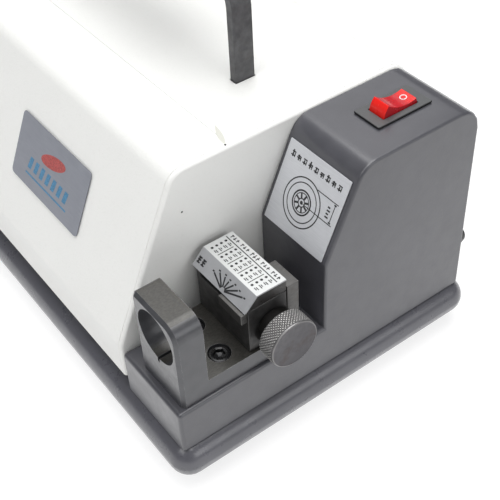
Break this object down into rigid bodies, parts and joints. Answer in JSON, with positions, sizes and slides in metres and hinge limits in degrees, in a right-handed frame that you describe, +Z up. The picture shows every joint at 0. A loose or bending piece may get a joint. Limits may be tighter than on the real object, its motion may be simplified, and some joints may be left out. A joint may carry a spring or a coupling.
{
  "type": "bench drill bit grinder",
  "caption": "Bench drill-bit grinder: sloped white hood between two grey castings on a round-edged base, with a drill setting gauge, rocker switch and carry handle.",
  "frame": {"origin": "bottom centre of the whole machine's box, on the surface the feet stand on", "axes": "+Z up, +X to the right along the machine (setting gauge end), +Y to the back"},
  "size_m": [0.331, 0.1812, 0.1898],
  "materials": {
    "casting_grey": "satin hammered grey paint",
    "base_grey": "satin grey paint",
    "hood_white": "fine textured off-white paint",
    "black_oxide": "black oxide",
    "bare_steel": "machined and knurled steel",
    "bracket_grey": "dark painted and part machined",
    "label_silver": "printed silver foil",
    "rubber_black": "matt",
    "switch_black": "moulded",
    "rocker_red": "translucent red, glossy",
    "terminal_brass": "plain",
    "cast_aluminium": "as cast",
    "stator_copper": "varnished winding and stack",
    "wheel_grit": "bonded abrasive"
  },
  "bodies": {
    "machine": {"base_plate": "base_grey", "bracket_screw_left": "black_oxide", "bracket_screw_right": "black_oxide", "cable_gland": "switch_black", "foot_front_left": "rubber_black", "foot_front_right": "rubber_black", "foot_rear_left": "rubber_black", "foot_rear_right": "rubber_black", "foot_screw_front_left": "bare_steel", "foot_screw_front_right": "bare_steel", "foot_screw_rear_left": "bare_steel", "foot_screw_rear_right": "bare_steel", "front_port": "bracket_grey", "front_port_screw_lower": "bare_steel", "front_port_screw_upper": "bare_steel", "gauge_body": "black_oxide", "gauge_bracket": "bracket_grey", "gland_locknut": "switch_black", "handle_grip": "rubber_black", "handle_pin_left": "bracket_grey", "handle_pin_right": "bracket_grey", "handle_strap": "bracket_grey", "hood_end_left": "hood_white", "hood_end_right": "hood_white", "hood_front": "hood_white", "hood_rear": "hood_white", "left_casting": "casting_grey", "motor_bearing_left": "bare_steel", "motor_bearing_right": "bare_steel", "motor_bell_left": "cast_aluminium", "motor_bell_right": "cast_aluminium", "motor_can": "bare_steel", "motor_cradle_left": "cast_aluminium", "motor_cradle_right": "cast_aluminium", "motor_stator": "stator_copper", "nameplate": "label_silver", "right_casting": "casting_grey", "scale_block": "black_oxide", "scale_plate": "label_silver", "setting_sticker": "label_silver", "side_port": "bracket_grey", "side_port_screw_lower": "bare_steel", "side_port_screw_upper": "bare_steel", "skirt_front": "base_grey", "skirt_rear": "base_grey", "switch_housing": "switch_black", "switch_terminal_1": "terminal_brass", "switch_terminal_2": "terminal_brass", "switch_terminal_3": "terminal_brass", "switch_terminal_4": "terminal_brass"},
    "rocker": {"switch_rocker": "rocker_red"},
    "adjuster": {"gauge_knob": "bare_steel", "gauge_leadscrew": "bare_steel"},
    "jaw": {"gauge_jaw": "bare_steel"},
    "spindle": {"motor_shaft": "bare_steel", "motor_rotor": "bare_steel", "grinding_wheel": "wheel_grit", "wheel_back_flange": "cast_aluminium", "wheel_nut": "bare_steel"}
  },
  "joints": [
    {"name": "rocker_tilt", "type": "hinge", "parent": "machine", "child": "rocker", "pos_m": [0.13115, 0.04895, 0.1334], "axis": [1, 0, 0], "range_deg": [0, 22]},
    {"name": "knob_turn", "type": "hinge", "parent": "machine", "child": "adjuster", "pos_m": [0.16545, -0.03295, 0.0691], "axis": [1, 0, 0], "range_deg": [0, 2880]},
    {"name": "jaw_slide", "type": "slide", "parent": "machine", "child": "jaw", "axis": [1, 0, 0], "range_m": [-0.012, 0]},
    {"name": "spindle_turn", "type": "hinge", "parent": "machine", "child": "spindle", "pos_m": [0.00655, -0.02565, 0.0774], "axis": [1, 0, 0], "continuous": true}
  ],
  "couplings": [
    {"joint": "jaw_slide", "follows": "knob_turn", "m_per_rad": -0.00023873}
  ]
}
